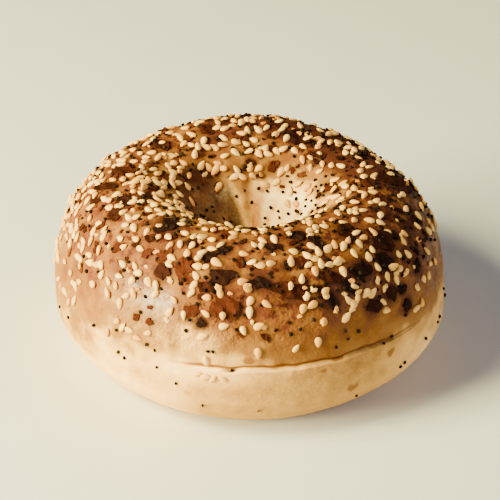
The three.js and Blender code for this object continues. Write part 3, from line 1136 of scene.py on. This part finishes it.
class BAGEL_OT_poppy_seeds(bpy.types.Operator):
    """Lay the poppy seeds on everything else"""

    bl_idname = "bagel.poppy_seeds"
    bl_label = "Poppy seeds"

    def execute(self, context):
        scene = context.scene
        settings = scene.bagel_toppings
        trees = surface_of("crust", "onion_flakes", "garlic_granules", "sesame_seeds")
        ball, faces = template(6, 5)
        half = settings.poppy_length / 2
        shapes, shades = [], []
        for spot in poppy_spots(scene, trees[:1]):
            scale = half * lerp(0.82, 1.12, spot.size)
            x, y, z = ball.T
            kidney = np.stack([x, y * 0.8 + 0.22 * x * x, z * 0.72], 1) * scale
            location, normal = drop(trees, spot.point, spot.out)
            shapes.append(laid(kidney, location + normal * scale * 0.5, normal, spot.along))
            shades.append(spot.luck)
        piece = joined("poppy_seeds", shapes, faces, {"shade": shades})
        poppy = np.array(settings.poppy_colour)
        stops = ((0.0, poppy * 0.5), (0.6, poppy), (1.0, poppy * (2.6, 2.2, 1.8)))
        material = seed_material("Poppy", "shade", stops, 0.7, 0.00006, 3000, 0.03)
        finish_piece(piece, material)
        return {"FINISHED"}


def aimed(azimuth, elevation, distance, target):
    """Where a lamp or camera stands that looks at a target from a direction, as a matrix."""
    azimuth, elevation = azimuth * DEGREE, elevation * DEGREE
    away = Vector(
        (
            math.cos(elevation) * math.cos(azimuth),
            math.cos(elevation) * math.sin(azimuth),
            math.sin(elevation),
        )
    )
    place = Vector(target) + away * distance
    return Matrix.Translation(place) @ away.to_track_quat("Z", "Y").to_matrix().to_4x4()


class BAGEL_OT_stage(bpy.types.Operator):
    """Make the floor, the lamps and the camera"""

    bl_idname = "bagel.stage"
    bl_label = "Stage"

    def execute(self, context):
        scene = context.scene
        view = scene.bagel_view
        bm = bmesh.new()
        bmesh.ops.create_grid(bm, x_segments=1, y_segments=1, size=FLOOR_SIZE)
        mesh = bpy.data.meshes.new("floor")
        bm.to_mesh(mesh)
        bm.free()
        material, make, shader = new_material("Floor")
        coarse, _ = mottle(make, 40)
        tint = make.spread(coarse, 0.97, 1.03)
        make.set(shader.inputs["Base Color"], make.mix(1.0, view.floor_colour, tint, "MULTIPLY"))
        shader.inputs["Roughness"].default_value = 0.7
        mesh.materials.append(material)
        floor = bpy.data.objects.new("floor", mesh)
        scene.collection.objects.link(floor)

        middle = (0, 0, view.middle_height)
        for lamp in LAMPS:
            self.lamp(*lamp, middle)
        world = bpy.data.worlds.new("Studio")
        world.use_nodes = True
        background = world.node_tree.nodes["Background"]
        background.inputs["Color"].default_value = WORLD_COLOUR
        background.inputs["Strength"].default_value = WORLD_STRENGTH
        scene.world = world

        camera_data = bpy.data.cameras.new("camera")
        camera_data.sensor_width = SENSOR_WIDTH
        camera_data.lens = view.pixels_per_metre * view.distance * SENSOR_WIDTH / FRAME_PIXELS
        camera_data.clip_start = 0.01
        camera = bpy.data.objects.new("camera", camera_data)
        scene.collection.objects.link(camera)
        camera.matrix_world = camera_matrix(view)
        scene.camera = camera
        return {"FINISHED"}

    def lamp(self, name, azimuth, elevation, distance, size, power, colour, target):
        data = bpy.data.lights.new(name, "AREA")
        data.shape = "RECTANGLE"
        data.size, data.size_y = size
        data.energy = power
        data.color = colour
        lamp = bpy.data.objects.new(name, data)
        lamp.matrix_world = aimed(azimuth, elevation, distance, target)
        bpy.context.scene.collection.objects.link(lamp)


STEPS = (
    BAGEL_OT_crust,
    BAGEL_OT_onion_flakes,
    BAGEL_OT_garlic_granules,
    BAGEL_OT_sesame_seeds,
    BAGEL_OT_poppy_seeds,
    BAGEL_OT_stage,
)


class BAGEL_PT_panel(bpy.types.Panel):
    """Settings and steps of the bagel"""

    bl_idname = "BAGEL_PT_panel"
    bl_label = "Bagel"
    bl_space_type = "VIEW_3D"
    bl_region_type = "UI"
    bl_category = "Bagel"

    def draw(self, context):
        layout = self.layout
        scene = context.scene
        for group in (scene.bagel_ring, scene.bagel_crust, scene.bagel_toppings, scene.bagel_view):
            column = layout.column()
            for name in group.__annotations__:
                column.prop(group, name)
        for step in STEPS:
            layout.operator(step.bl_idname)


GROUPS = {
    "bagel_ring": RingSettings,
    "bagel_crust": CrustColours,
    "bagel_toppings": ToppingSettings,
    "bagel_view": ViewSettings,
}


def register():
    for name, group in GROUPS.items():
        bpy.utils.register_class(group)
        setattr(bpy.types.Scene, name, PointerProperty(type=group))
    for cls in (*STEPS, BAGEL_PT_panel):
        bpy.utils.register_class(cls)


def unregister():
    for cls in reversed((*STEPS, BAGEL_PT_panel)):
        bpy.utils.unregister_class(cls)
    for name, group in reversed(GROUPS.items()):
        delattr(bpy.types.Scene, name)
        bpy.utils.unregister_class(group)


def main():
    register()
    bpy.ops.bagel.crust()
    bpy.ops.bagel.onion_flakes()
    bpy.ops.bagel.garlic_granules()
    bpy.ops.bagel.sesame_seeds()
    bpy.ops.bagel.poppy_seeds()
    bpy.ops.bagel.stage()


if __name__ == "__main__":
    main()
